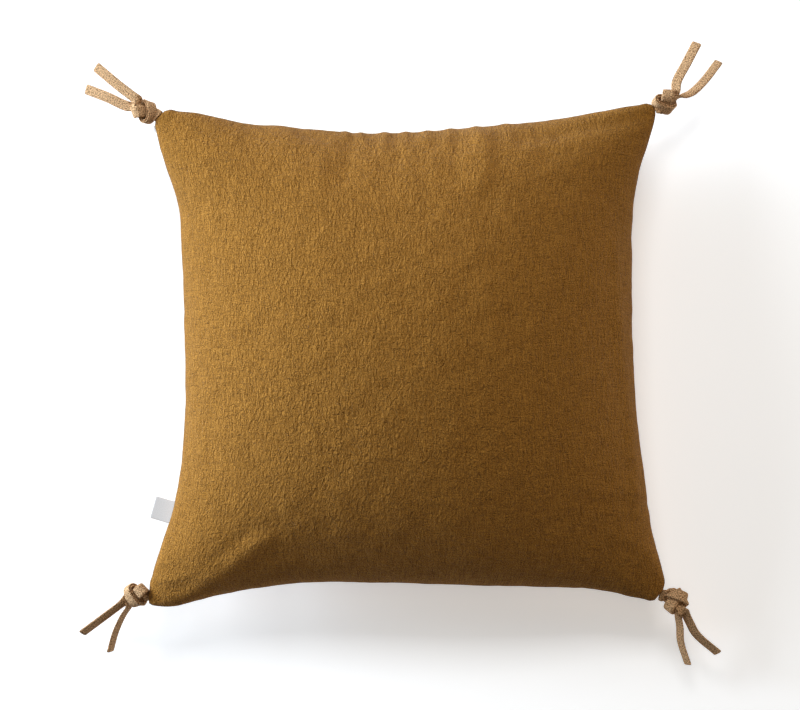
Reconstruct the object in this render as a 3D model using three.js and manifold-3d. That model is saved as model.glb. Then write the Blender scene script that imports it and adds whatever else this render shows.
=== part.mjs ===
// Throw cushion lying on its back: a filled square linen cover whose sides draw in
// between the corners, a flat tape tie knotted at each corner with two free tails,
// and two small labels sewn into the left side seam.
// Millimetres, +Z up, +Y towards the cushion's top side, origin on the floor under
// the middle of the whole object.

import * as THREE from 'three';
import { mergeVertices } from 'three/addons/utils/BufferGeometryUtils.js';
import Module from 'manifold-3d';

const wasm = await Module();
wasm.setup();

// Driving dimensions of the filled cover
const CROWN_RISE = 84;         // crown above the sheet between the seams
const BACK_DROP = 80;          // back panel below that sheet if nothing flattened it
const SEAM_HEIGHT = 56;        // seam above the floor at the middle of a side
const RIM_ROUNDNESS = 0.56;    // 0.5 gives an elliptic rim, 1 a parabolic one
const CELLS = 42;              // grid cells along each side of a panel
const RIM_CROWDING = 0.78;     // 1 crowds the grid lines fully towards the rim
const GAP = 0.3;               // left between pieces that are sewn to each other
const WELD = 1e-3;             // points of one solid that are nearer than this are one
const SLIVER = 0.02;           // edges of a joined solid that are shorter than this go

// Where the middle of the whole object's box lies in the plan that the places below are
// given in. The finished pieces are moved so that it stands over the origin.
const PLAN_MIDDLE = { x: 2.15, y: -0.06 };

// The drawn-out tips of the four corners, before each is cut blunt at its neck point
// to take the tie. facing is the plan angle that the cut looks along.
const CORNERS = {
  bottom_left: { x: -222.5, y: -220.5, z: 47, neck: [-219.3, -211.5], facing: 184 },
  bottom_right: { x: 231.5, y: -217, z: 45, neck: [227.7, -210.9], facing: -39 },
  top_right: { x: 226.5, y: 219.5, z: 49, neck: [223.3, 214.8], facing: 37 },
  top_left: { x: -215, y: 213, z: 50, neck: [-209.8, 207.4], facing: 138 },
};

// Each side's seam, going round anticlockwise from the bottom left corner, by rows of
// [share of the way along, drawn in from the straight line between the two tips]
const SIDES = {
  bottom: [[0, 0], [0.05, 2.3], [0.11, 7.6], [0.2, 15.5], [0.3, 20], [0.38, 21.3], [0.57, 19.3],
    [0.72, 18], [0.84, 14.8], [0.92, 9.6], [0.96, 5.6], [1, 0]],
  right: [[0, 0], [0.07, 4], [0.2, 14.5], [0.32, 21.5], [0.44, 26], [0.55, 27.8], [0.68, 27.2],
    [0.785, 25], [0.845, 20.5], [0.91, 12], [0.965, 4], [1, 0]],
  top: [[0, 0], [0.1, 7], [0.19, 14.5], [0.27, 18], [0.39, 21.5], [0.51, 24], [0.63, 22],
    [0.75, 16.5], [0.83, 12], [0.9, 5], [0.95, 1.5], [1, 0]],
  left: [[0, 0], [0.06, 6.6], [0.14, 17.7], [0.21, 26.5], [0.28, 29], [0.4, 32.3], [0.55, 34],
    [0.67, 33], [0.75, 30.5], [0.83, 21.6], [0.91, 11], [0.96, 2.8], [1, 0]],
};

// Soft folds of the front panel: a Gaussian ridge (rise above 0) or trough (below 0)
// along the line from one end to the other, fading out at both ends
const FOLDS = [
  { from: [-178, -215], to: [-92, -130], width: 13, rise: 4.5 },
  { from: [-196, -196], to: [-118, -150], width: 9, rise: -3 },
  { from: [140, 186], to: [214, 209], width: 8, rise: -3 },
  { from: [186, 120], to: [192, -90], width: 11, rise: -2.5 },
  { from: [212, -110], to: [222, -180], width: 8, rise: 2.5 },
  { from: [76, 196], to: [70, 150], width: 8, rise: 2.5 },
  { from: [-42, 191], to: [-46, 152], width: 8, rise: -2.5 },
];

// The tie's flat braided tape, and the knot tied in it while it is doubled
const TAPE = { width: 9.4, thick: 1.85 };
const LAYER_OFFSET = 0.95;     // from the middle of the doubled tape to that of each tail
const TURNED = 0.2;            // share of a tail that turns and narrows to how its tip lies
const KNOT = {
  sections: 112,        // cross sections along the band
  across: 5,            // points across each section
  band: 12,             // width of the doubled tape in the knot, before its size is applied
  slackLength: 345,     // length of the loose loop that the tightening starts from
  tightLength: 138,     // length left in the knot and its leads once it is tight
  passes: 1600,
  pull: 0.12,           // how far each end is drawn apart in a pass
  clearance: 4.4,       // between the middles of neighbouring wraps
  lead: 10.5,           // the wraps end this far from the knot's middle
};

// One tie a corner. axis is the plan angle from neck to tails, droop tips it down,
// roll turns the knot about it, and hand is 1 or -1 for a right or left knot. middle
// is the knot's place, and size scales it. Each tail leaves from one layer, passes its
// via points and ends at its tip, where face is the tilt of its flat face.
const TIES = [
  {
    name: 'tie_top_left', corner: 'top_left', middle: [-223.5, 212.3, 49], size: 0.9,
    axis: 154, droop: 5, roll: 210, hand: -1,
    tails: [
      { layer: 1, via: [[-228, 220.8, 50], [-246, 235.8, 46]], tip: [-265.8, 252.4, 39], face: -20 },
      { layer: -1, via: [[-236.7, 217, 47], [-256.4, 225.2, 42]], tip: [-275.8, 232.9, 33], face: -15 },
    ],
  },
  {
    name: 'tie_top_right', corner: 'top_right', middle: [232, 223, 48], size: 0.92,
    axis: 44, droop: 5, roll: 215, hand: -1,
    tails: [
      { layer: -1, via: [[242.6, 236.6, 50], [251.2, 253.3, 46]], tip: [260.8, 271.3, 41], face: -25 },
      {
        layer: 1, via: [[247, 226.4, 45], [255.5, 229.3, 42], [265.8, 237.5, 40]],
        tip: [281, 255.8, 34], face: -62,
      },
    ],
  },
  {
    name: 'tie_bottom_left', corner: 'bottom_left', middle: [-230, -210.3, 46], size: 0.9,
    axis: 200, droop: 7, roll: 318, hand: -1,
    tails: [
      { layer: -1, via: [[-241, -216.6, 43], [-259, -230.1, 37]], tip: [-277.5, -243.8, 30], face: -48 },
      {
        layer: 1, via: [[-235.5, -220, 41], [-242, -231, 37], [-248.5, -245, 31]],
        tip: [-253.5, -261.5, 24], face: -58,
      },
    ],
  },
  {
    name: 'tie_bottom_right', corner: 'bottom_right', middle: [241.8, -216.3, 44], size: 0.88,
    axis: -75, droop: 7, roll: 6, hand: 1,
    tails: [
      {
        layer: 1, via: [[244.5, -229, 39.5], [246, -240, 35], [247, -253, 30]],
        tip: [254.5, -272.8, 23], face: 55,
      },
      {
        layer: -1, via: [[250.5, -226, 41], [255.5, -235, 37], [261.5, -245.5, 33]],
        tip: [281.5, -263, 24], face: 45,
      },
    ],
  },
];

// Labels in the left seam: out is how far each stands out of it, wide its width along
// the seam, swing turns it in plan and droop tips its end down. point narrows its end.
const LABELS = [
  { name: 'side_label', along: 0.8, out: 17, wide: 19, thick: 1.4, swing: 0, droop: 6, point: 0 },
  { name: 'care_label', along: 0.037, out: 6.5, wide: 6.5, thick: 1.2, swing: -10, droop: 25, point: 0.7 },
];

const FINISHES = {
  linen: { color: '#8f6a36', roughness: 0.95 },
  braid: { color: '#bfa587', roughness: 0.9 },
  label: { color: '#d9dadb', roughness: 0.8 },
};

function finish(name) {
  const { color, roughness } = FINISHES[name];
  return new THREE.MeshStandardMaterial({ name, color, roughness, metalness: 0 });
}

function degrees(angle) {
  return THREE.MathUtils.degToRad(angle);
}

function planDirection(angle) {
  return new THREE.Vector3(Math.cos(degrees(angle)), Math.sin(degrees(angle)), 0);
}

// Solids: from a three.js geometry to one that can be joined and cut, and back

function toSolid(geometry) {
  const bare = geometry.clone();
  bare.deleteAttribute('normal');
  bare.deleteAttribute('uv');
  const merged = mergeVertices(bare, WELD);
  return new wasm.Manifold(new wasm.Mesh({
    numProp: 3,
    vertProperties: new Float32Array(merged.attributes.position.array),
    triVerts: new Uint32Array(merged.index.array),
  }));
}

function toGeometry(solid) {
  const { vertProperties, triVerts } = solid.getMesh();
  const geometry = new THREE.BufferGeometry();
  geometry.setAttribute('position', new THREE.BufferAttribute(new Float32Array(vertProperties), 3));
  geometry.setIndex(new THREE.BufferAttribute(new Uint32Array(triVerts), 1));
  return geometry;
}

// The largest shell of a solid, so that small voids shut inside it are filled. Going
// by way of a mesh rounds the solid first, and slivers that this parts drop out too.
function outerShell(solid) {
  const shells = toSolid(toGeometry(solid.simplify(SLIVER))).decompose();
  return shells.reduce((largest, shell) => (shell.volume() > largest.volume() ? shell : largest));
}

// Cushion

// Smooth curve through a side's rows, read at a share of the way along
function drawnIn(rows, along) {
  let k = 0;
  while (k < rows.length - 2 && rows[k + 1][0] < along) {
    k += 1;
  }
  const slope = (j) => {
    const before = rows[Math.max(j - 1, 0)];
    const after = rows[Math.min(j + 1, rows.length - 1)];
    return (after[1] - before[1]) / (after[0] - before[0]);
  };
  const [[x0, y0], [x1, y1]] = [rows[k], rows[k + 1]];
  const span = x1 - x0;
  const t = (along - x0) / span;
  return (2 * t ** 3 - 3 * t ** 2 + 1) * y0 + (t ** 3 - 2 * t ** 2 + t) * span * slope(k)
    + (3 * t ** 2 - 2 * t ** 3) * y1 + (t ** 3 - t ** 2) * span * slope(k + 1);
}

// A point of the seam between two corners, at a share of the way along
function seamPoint(side, start, end, along) {
  const from = new THREE.Vector3(start.x, start.y, start.z);
  const to = new THREE.Vector3(end.x, end.y, end.z);
  const inwards = new THREE.Vector3(from.y - to.y, to.x - from.x, 0).normalize();
  const lift = SEAM_HEIGHT - 0.5 * (start.z + end.z);
  const point = from.lerp(to, along).addScaledVector(inwards, drawnIn(SIDES[side], along));
  point.z += lift * Math.sin(Math.PI * along) ** 0.8;
  return point;
}

function seam(side, along) {
  const { bottom_left: bl, bottom_right: br, top_right: tr, top_left: tl } = CORNERS;
  const ends = { bottom: [bl, br], right: [br, tr], top: [tr, tl], left: [tl, bl] }[side];
  return seamPoint(side, ends[0], ends[1], along);
}

// The sheet between the four seams, blended from them; s runs right and t up
function seamSheet(s, t) {
  const corner = (name) => new THREE.Vector3(CORNERS[name].x, CORNERS[name].y, CORNERS[name].z);
  const point = new THREE.Vector3();
  point.addScaledVector(seam('bottom', s), 1 - t);
  point.addScaledVector(seam('top', 1 - s), t);
  point.addScaledVector(seam('left', 1 - t), 1 - s);
  point.addScaledVector(seam('right', t), s);
  point.addScaledVector(corner('bottom_left'), -(1 - s) * (1 - t));
  point.addScaledVector(corner('bottom_right'), -s * (1 - t));
  point.addScaledVector(corner('top_right'), -s * t);
  point.addScaledVector(corner('top_left'), -(1 - s) * t);
  return point;
}

function foldRise(x, y) {
  let rise = 0;
  for (const fold of FOLDS) {
    const [dx, dy] = [fold.to[0] - fold.from[0], fold.to[1] - fold.from[1]];
    const length = Math.hypot(dx, dy);
    const along = ((x - fold.from[0]) * dx + (y - fold.from[1]) * dy) / length;
    const aside = ((y - fold.from[1]) * dx - (x - fold.from[0]) * dy) / length;
    const beyond = Math.max(-along, along - length, 0);
    rise += fold.rise * Math.exp(-((aside / fold.width) ** 2) - (beyond / (1.5 * fold.width)) ** 2);
  }
  return rise;
}

function gridShare(k) {
  const centred = (2 * k) / CELLS - 1;
  const crowded = Math.sin(0.5 * Math.PI * RIM_CROWDING * centred);
  return 0.5 + (0.5 * crowded) / Math.sin(0.5 * Math.PI * RIM_CROWDING);
}

function cushionBody() {
  const rows = CELLS + 1;
  const positions = [];
  const vertexOf = new Map();
  const vertex = (face, i, j) => {
    const rim = i === 0 || j === 0 || i === CELLS || j === CELLS;
    const key = `${rim ? 'rim' : face} ${i * rows + j}`;
    if (!vertexOf.has(key)) {
      const [s, t] = [gridShare(i), gridShare(j)];
      const point = seamSheet(s, t);
      const fullness = (16 * s * (1 - s) * t * (1 - t)) ** RIM_ROUNDNESS;
      if (!rim && face === 'front') {
        const settled = Math.min(1, fullness / 0.25);
        point.z += CROWN_RISE * fullness + settled * foldRise(point.x, point.y);
      } else if (!rim) {
        point.z -= BACK_DROP * fullness;
      }
      vertexOf.set(key, positions.length / 3);
      positions.push(point.x, point.y, point.z);
    }
    return vertexOf.get(key);
  };
  const triangles = [];
  for (let i = 0; i < CELLS; i += 1) {
    for (let j = 0; j < CELLS; j += 1) {
      for (const face of ['front', 'back']) {
        const quad = [vertex(face, i, j), vertex(face, i + 1, j),
          vertex(face, i + 1, j + 1), vertex(face, i, j + 1)];
        if (face === 'back') {
          quad.reverse();
        }
        const swap = (i < CELLS / 2) === (j < CELLS / 2);
        const [a, b, c, d] = swap ? [quad[1], quad[2], quad[3], quad[0]] : quad;
        triangles.push(a, b, c, a, c, d);
      }
    }
  }
  const geometry = new THREE.BufferGeometry();
  geometry.setAttribute('position', new THREE.Float32BufferAttribute(positions, 3));
  geometry.setIndex(triangles);
  return toSolid(geometry);
}

// The flat end that a corner turns to its tie
function cornerFacet(name) {
  const { neck, z, facing } = CORNERS[name];
  return { normal: planDirection(facing), middle: new THREE.Vector3(...neck, z) };
}

// Block on one side of a corner's flat end: outside it, or inside and a gap away
function cornerBlock(name, outside) {
  const size = 40;
  const { normal, middle } = cornerFacet(name);
  const box = new THREE.BoxGeometry(size, 2 * size, 2 * size);
  const placed = new THREE.Matrix4().makeRotationZ(degrees(CORNERS[name].facing));
  placed.setPosition(middle.addScaledVector(normal, outside ? size / 2 : GAP - size / 2));
  return toSolid(box.applyMatrix4(placed));
}

function floorCut() {
  const depth = 60;
  const reach = 700;
  return toSolid(new THREE.BoxGeometry(reach, reach, depth).translate(0, 0, -depth / 2));
}

function cushionGeometry() {
  let solid = cushionBody().subtract(floorCut());
  for (const name of Object.keys(CORNERS)) {
    solid = solid.subtract(cornerBlock(name, true));
  }
  return toGeometry(solid);
}

// Knot: a band of points that starts as a loose overhand loop and is pulled tight

// Middle line of a long trefoil, its ends apart along x
function looseLoop() {
  const { sections, slackLength } = KNOT;
  const reach = 2.25;
  const fine = 2000;
  const raw = [];
  for (let k = 0; k <= fine; k += 1) {
    const t = reach * ((2 * k) / fine - 1);
    raw.push(new THREE.Vector3(t ** 3 - 3 * t, t ** 4 - 4 * t ** 2, t ** 5 / 5 - 2 * t));
  }
  const centre = raw.reduce((sum, point) => sum.add(point), new THREE.Vector3()).divideScalar(raw.length);
  const along = raw[fine].clone().sub(raw[0]).normalize();
  const up = new THREE.Vector3(0, 1, 0);
  up.addScaledVector(along, -up.dot(along)).normalize();
  const side = new THREE.Vector3().crossVectors(along, up);
  const line = raw.map((point) => {
    point.sub(centre);
    return new THREE.Vector3(point.dot(along), point.dot(up), point.dot(side));
  });
  const run = [0];
  for (let k = 1; k <= fine; k += 1) {
    run.push(run[k - 1] + line[k].distanceTo(line[k - 1]));
  }
  const scale = slackLength / run[fine];
  let k = 0;
  return Array.from({ length: sections }, (_, n) => {
    const target = (run[fine] * n) / (sections - 1);
    while (k < fine - 1 && run[k + 1] < target) {
      k += 1;
    }
    const share = (target - run[k]) / (run[k + 1] - run[k]);
    return line[k].clone().lerp(line[k + 1], share).multiplyScalar(scale);
  });
}

function looseBand() {
  const line = looseLoop();
  const last = line.length - 1;
  const width = new THREE.Vector3(0, 0, 1);
  return line.map((middle, n) => {
    const tangent = line[Math.min(n + 1, last)].clone().sub(line[Math.max(n - 1, 0)]).normalize();
    width.addScaledVector(tangent, -width.dot(tangent)).normalize();
    return Array.from({ length: KNOT.across }, (_, a) => {
      const aside = KNOT.band * (a / (KNOT.across - 1) - 0.5);
      return middle.clone().addScaledVector(width, aside);
    });
  });
}

// Moves two points to their rest distance, each by half of what is missing
function relax(one, other, rest, share) {
  const away = other.clone().sub(one);
  const length = Math.max(away.length(), 1e-9);
  away.multiplyScalar((0.5 * share * (length - rest)) / length);
  one.add(away);
  other.sub(away);
}

// Keeps the band's own length, width and squareness for one sweep
function holdShape(band, step) {
  const [last, edge] = [band.length - 1, KNOT.across - 1];
  const thread = KNOT.band / edge;
  for (const parity of [0, 1]) {
    for (let n = parity; n < last; n += 2) {
      band[n].forEach((point, a) => relax(point, band[n + 1][a], step, 1));
    }
  }
  for (const parity of [0, 1]) {
    for (let a = parity; a < edge; a += 2) {
      band.forEach((section) => relax(section[a], section[a + 1], thread, 1));
    }
  }
  const diagonal = Math.hypot(thread, step);
  for (const parity of [0, 1]) {
    for (const [from, to] of [[0, 1], [1, 0]]) {
      for (let n = parity; n < last; n += 2) {
        for (let a = 0; a < edge; a += 1) {
          relax(band[n][a + from], band[n + 1][a + to], diagonal, 0.5);
        }
      }
    }
  }
}

// Stiffness: each point moves towards the middle of its neighbours
function smooth(band) {
  const [lengthwise, crosswise] = [0.15, 0.12];
  const pulled = (point, before, after, share) => {
    const middle = before.clone().add(after).multiplyScalar(0.5);
    return point.clone().lerp(middle, share);
  };
  const along = band.map((section, n) => section.map((point, a) => (
    n === 0 || n === band.length - 1
      ? point.clone()
      : pulled(point, band[n - 1][a], band[n + 1][a], lengthwise))));
  return along.map((section) => section.map((point, a) => (
    a === 0 || a === KNOT.across - 1
      ? point
      : pulled(point, section[a - 1], section[a + 1], crosswise))));
}

// Pairs of points of different wraps that lie close together
function closePairs(band, step) {
  const points = band.flat();
  const near = KNOT.clearance + 1.5;
  const sectionsApart = Math.floor((1.6 * KNOT.clearance) / step) + 1;
  const pairs = [];
  for (let i = 0; i < points.length; i += 1) {
    const first = (Math.floor(i / KNOT.across) + sectionsApart) * KNOT.across;
    for (let j = first; j < points.length; j += 1) {
      if (points[i].distanceToSquared(points[j]) < near * near) {
        pairs.push([i, j]);
      }
    }
  }
  return pairs;
}

// Pushes the pairs that are nearer than the clearance apart
function separate(band, pairs) {
  const points = band.flat();
  const moves = points.map(() => new THREE.Vector3());
  const counts = points.map(() => 0);
  for (const [i, j] of pairs) {
    const away = points[j].clone().sub(points[i]);
    const length = Math.max(away.length(), 1e-6);
    if (length < KNOT.clearance) {
      away.multiplyScalar((0.6 * (KNOT.clearance - length)) / length);
      moves[i].sub(away);
      moves[j].add(away);
      counts[i] += 1;
      counts[j] += 1;
    }
  }
  points.forEach((point, i) => point.addScaledVector(moves[i], 1 / Math.max(counts[i], 1)));
}

// Draws both ends towards the axis, with their width lying along y
function steerEnd(section) {
  const hold = 0.3;
  const middle = section[(KNOT.across - 1) / 2].clone();
  section.forEach((point, a) => {
    const aside = KNOT.band * (a / (KNOT.across - 1) - 0.5);
    point.y -= hold * middle.y;
    point.z -= hold * middle.z;
    const target = new THREE.Vector3(middle.x, (1 - hold) * middle.y + aside, (1 - hold) * middle.z);
    point.lerp(target, hold);
  });
}

function tightBand() {
  const { passes, sections, slackLength, tightLength, pull } = KNOT;
  let band = looseBand();
  let pairs = [];
  for (let pass = 0; pass < passes; pass += 1) {
    const drawn = Math.min(1, pass / (0.7 * passes));
    const step = (slackLength + (tightLength - slackLength) * drawn) / (sections - 1);
    band[0].forEach((point) => point.setX(point.x - pull));
    band[sections - 1].forEach((point) => point.setX(point.x + pull));
    holdShape(band, step);
    holdShape(band, step);
    band = smooth(band);
    if (pass % 8 === 0) {
      pairs = closePairs(band, step);
    }
    separate(band, pairs);
    separate(band, pairs);
    steerEnd(band[0]);
    steerEnd(band[sections - 1]);
  }
  return band;
}

// The wraps alone, moved so that their middle is the origin
function knotWraps(band) {
  const middles = band.map((section) => section[(KNOT.across - 1) / 2]);
  const inner = middles.slice(Math.floor(0.3 * middles.length), Math.floor(0.7 * middles.length));
  const centre = inner.reduce((sum, point) => sum.add(point), new THREE.Vector3());
  centre.divideScalar(inner.length);
  const inside = middles.map((point) => point.distanceTo(centre) < KNOT.lead);
  return band
    .slice(inside.indexOf(true), inside.lastIndexOf(true) + 1)
    .map((section) => section.map((point) => point.clone().sub(centre)));
}

// Turns, scales and moves the wraps to a tie's place
function placedWraps(wraps, tie) {
  const { size, hand } = tie;
  const frame = new THREE.Matrix4().makeRotationZ(degrees(tie.axis))
    .multiply(new THREE.Matrix4().makeRotationY(degrees(tie.droop)))
    .multiply(new THREE.Matrix4().makeRotationX(degrees(tie.roll)))
    .multiply(new THREE.Matrix4().makeScale(size, size, size * hand));
  frame.setPosition(new THREE.Vector3(...tie.middle));
  return wraps.map((section) => section.map((point) => point.clone().applyMatrix4(frame)));
}

// Tie

// Middle, width direction and length direction of a section of the wraps
function sectionFrame(wraps, n) {
  const centre = (KNOT.across - 1) / 2;
  const before = wraps[Math.max(n - 2, 0)][centre];
  const after = wraps[Math.min(n + 2, wraps.length - 1)][centre];
  const tangent = after.clone().sub(before).normalize();
  const width = wraps[n][KNOT.across - 1].clone().sub(wraps[n][0]);
  width.addScaledVector(tangent, -width.dot(tangent)).normalize();
  return { middle: wraps[n][centre].clone(), width, tangent };
}

// Corners round a straight section of tape
function flatRing({ middle, width, tangent }, wide, thick) {
  const normal = new THREE.Vector3().crossVectors(tangent, width).normalize();
  const face = (up) => [-1, 0, 1].map((aside) => middle.clone()
    .addScaledVector(width, (aside * wide) / 2)
    .addScaledVector(normal, (up * thick) / 2));
  return [...face(-1), ...face(1).reverse()];
}

// Corners round a section of the wraps, which may be curled across its width
function curledRing(wraps, n, thick) {
  const { tangent } = sectionFrame(wraps, n);
  const section = wraps[n];
  const edge = KNOT.across - 1;
  const face = (up) => [0, edge / 2, edge].map((a) => {
    const across = section[Math.min(a + 1, edge)].clone().sub(section[Math.max(a - 1, 0)]);
    const normal = new THREE.Vector3().crossVectors(tangent, across).normalize();
    return section[a].clone().addScaledVector(normal, (up * thick) / 2);
  });
  return [...face(-1), ...face(1).reverse()];
}

// A closed skin over rings that all have the same number of corners
function sweptSolid(rings) {
  const corners = rings[0].length;
  const end = corners * (rings.length - 1);
  const triangles = [];
  for (let c = 1; c < corners - 1; c += 1) {
    triangles.push(0, c + 1, c, end, end + c, end + c + 1);
  }
  for (let base = 0; base < end; base += corners) {
    for (let c = 0; c < corners; c += 1) {
      const [a, b] = [base + c, base + ((c + 1) % corners)];
      triangles.push(a, b, b + corners, a, b + corners, a + corners);
    }
  }
  const geometry = new THREE.BufferGeometry().setFromPoints(rings.flat());
  geometry.setIndex(triangles);
  return toSolid(geometry);
}

// Sections along a curve whose width turns from one direction to another, and has
// done so by the share turned of the length
function turnedSections(curve, count, fromWidth, toWidth, turned) {
  const end = toWidth.clone().multiplyScalar(fromWidth.dot(toWidth) < 0 ? -1 : 1);
  return Array.from({ length: count + 1 }, (_, k) => {
    const share = k / count;
    const tangent = curve.getTangentAt(share);
    const width = fromWidth.clone().lerp(end, THREE.MathUtils.smoothstep(share, 0, turned));
    width.addScaledVector(tangent, -width.dot(tangent)).normalize();
    return { middle: curve.getPointAt(share), width, tangent };
  });
}

// Sections of the doubled tape from the cushion's corner up to the first wrap
function neckSections(tie, wraps) {
  const facet = cornerFacet(tie.corner);
  const start = facet.middle.clone().addScaledVector(facet.normal, -GAP);
  const first = sectionFrame(wraps, 0);
  const reach = start.distanceTo(first.middle) / 3;
  const curve = new THREE.CubicBezierCurve3(
    start,
    start.clone().addScaledVector(facet.normal, reach),
    first.middle.clone().addScaledVector(first.tangent, -reach),
    first.middle,
  );
  const across = planDirection(CORNERS[tie.corner].facing + 90);
  across.multiplyScalar(across.dot(first.width) < 0 ? -1 : 1);
  return turnedSections(curve, 4, across, first.width, 1).slice(0, -1);
}

// Sections of a tail from just inside the last wrap, where it is as wide as the knot's
// band, to its tip
function tailSections(tie, tail, wraps) {
  const last = sectionFrame(wraps, wraps.length - 1);
  const normal = new THREE.Vector3().crossVectors(last.tangent, last.width);
  const start = last.middle.clone().addScaledVector(normal, tail.layer * LAYER_OFFSET);
  const [inside, straight] = [-1.5, 2];
  const route = [
    start.clone().addScaledVector(last.tangent, inside),
    start.clone().addScaledVector(last.tangent, straight),
    ...[...tail.via, tail.tip].map((point) => new THREE.Vector3(...point)),
  ];
  const curve = new THREE.CatmullRomCurve3(route, false, 'centripetal');
  const heading = curve.getTangentAt(1);
  const level = new THREE.Vector3(-heading.y, heading.x, 0).normalize();
  const width = level.applyAxisAngle(heading, degrees(tail.face));
  const [count, band] = [14, KNOT.band * tie.size];
  return turnedSections(curve, count, last.width, width, TURNED).map((section, k) => ({
    ...section,
    wide: THREE.MathUtils.lerp(band, TAPE.width, Math.min(1, k / count / TURNED)),
  }));
}

// The doubled tape of neck and wraps is one skin, and each tail, a little thinner and
// narrower at its root than one layer of it, is joined to its end
function tieGeometry(tie, knot) {
  const wraps = placedWraps(knot, tie);
  const rings = neckSections(tie, wraps)
    .map((section) => flatRing(section, KNOT.band * tie.size, 2 * TAPE.thick));
  for (let n = 0; n < wraps.length; n += 2) {
    rings.push(curledRing(wraps, n, 2 * TAPE.thick));
  }
  let solid = sweptSolid(rings);
  for (const tail of tie.tails) {
    const tailRings = tailSections(tie, tail, wraps)
      .map((section) => flatRing(section, 0.97 * section.wide, 0.9 * TAPE.thick));
    solid = solid.add(sweptSolid(tailRings));
  }
  return toGeometry(outerShell(solid.subtract(cornerBlock(tie.corner, false))));
}

// Label: a small folded tab that stands out of the left seam
function labelGeometry(label) {
  const { along, out, wide, thick, swing, droop, point } = label;
  const shape = new THREE.Shape([
    new THREE.Vector2(0, -wide / 2),
    new THREE.Vector2(out, (-wide / 2) * (1 - point)),
    new THREE.Vector2(out, (wide / 2) * (1 - point)),
    new THREE.Vector2(0, wide / 2),
  ]);
  const slab = new THREE.ExtrudeGeometry(shape, { depth: thick, bevelEnabled: false });
  const root = seam('left', along);
  const tangent = seam('left', along + 0.01).sub(seam('left', along - 0.01)).normalize();
  const outwards = new THREE.Vector3(tangent.y, -tangent.x, 0).normalize();
  const turn = Math.atan2(outwards.y, outwards.x) + degrees(swing);
  slab.translate(0, 0, -thick / 2).rotateY(degrees(droop)).rotateZ(turn);
  const bow = 0.3;
  const clear = GAP + bow + (wide / 2) * Math.sin(degrees(Math.abs(swing)));
  slab.translate(...root.addScaledVector(outwards, clear));
  return toGeometry(toSolid(slab));
}

function piece(name, geometry, finishName) {
  const mesh = new THREE.Mesh(geometry, finish(finishName));
  mesh.name = name;
  return mesh;
}

function throwCushion() {
  const plan = new THREE.Group();
  plan.position.set(-PLAN_MIDDLE.x, -PLAN_MIDDLE.y, 0);
  plan.add(piece('cushion', cushionGeometry(), 'linen'));
  const knot = knotWraps(tightBand());
  for (const tie of TIES) {
    plan.add(piece(tie.name, tieGeometry(tie, knot), 'braid'));
  }
  for (const label of LABELS) {
    plan.add(piece(label.name, labelGeometry(label), 'label'));
  }
  return new THREE.Group().add(plan);
}

export default throwCushion();
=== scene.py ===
"""Throw cushion: a filled linen cover with drawn-in sides, a flat tape tie knotted at each
corner, and two bare labels in its left seam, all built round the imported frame."""

import math

import bmesh
import bpy
import numpy as np
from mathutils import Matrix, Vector


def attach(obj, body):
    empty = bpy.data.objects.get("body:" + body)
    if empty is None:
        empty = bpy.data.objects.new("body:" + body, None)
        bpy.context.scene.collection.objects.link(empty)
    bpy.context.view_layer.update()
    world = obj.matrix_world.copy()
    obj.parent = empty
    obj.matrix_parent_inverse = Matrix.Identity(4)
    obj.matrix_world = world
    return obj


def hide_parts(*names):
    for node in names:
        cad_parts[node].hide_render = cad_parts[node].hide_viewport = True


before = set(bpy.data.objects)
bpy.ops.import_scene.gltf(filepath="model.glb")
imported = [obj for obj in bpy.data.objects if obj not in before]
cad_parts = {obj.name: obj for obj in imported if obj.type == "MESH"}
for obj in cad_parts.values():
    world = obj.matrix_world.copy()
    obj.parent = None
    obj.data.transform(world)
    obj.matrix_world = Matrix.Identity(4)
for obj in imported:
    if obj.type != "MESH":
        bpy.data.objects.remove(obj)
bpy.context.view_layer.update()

bl_info = {
    "name": "Throw Cushion",
    "version": (1, 0, 0),
    "blender": (4, 5, 0),
    "location": "3D View > Sidebar > Cushion",
    "description": "Linen throw cushion with knotted tape ties at its corners",
    "category": "Add Mesh",
}

MM = 0.001

# Where the middle of the object's box lies in the plan that the places below are given in
PLAN_MIDDLE = np.array([2.15, -0.06, 0.0])

# The drawn-out tips of the corners, in mm. Each is cut blunt at its neck point to take the
# tie, facing is the plan angle in degrees that the cut looks along, and plump is the share
# by which the end is filled out there.
CORNERS = {
    "bottom_left": {"tip": (-222.5, -220.5, 47), "neck": (-219.3, -211.5), "facing": 184, "plump": 0.0},
    "bottom_right": {"tip": (231.5, -217, 45), "neck": (227.7, -210.9), "facing": -39, "plump": 0.25},
    "top_right": {"tip": (226.5, 219.5, 49), "neck": (223.3, 214.8), "facing": 37, "plump": 0.4},
    "top_left": {"tip": (-215, 213, 50), "neck": (-209.8, 207.4), "facing": 138, "plump": 0.3},
}

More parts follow.
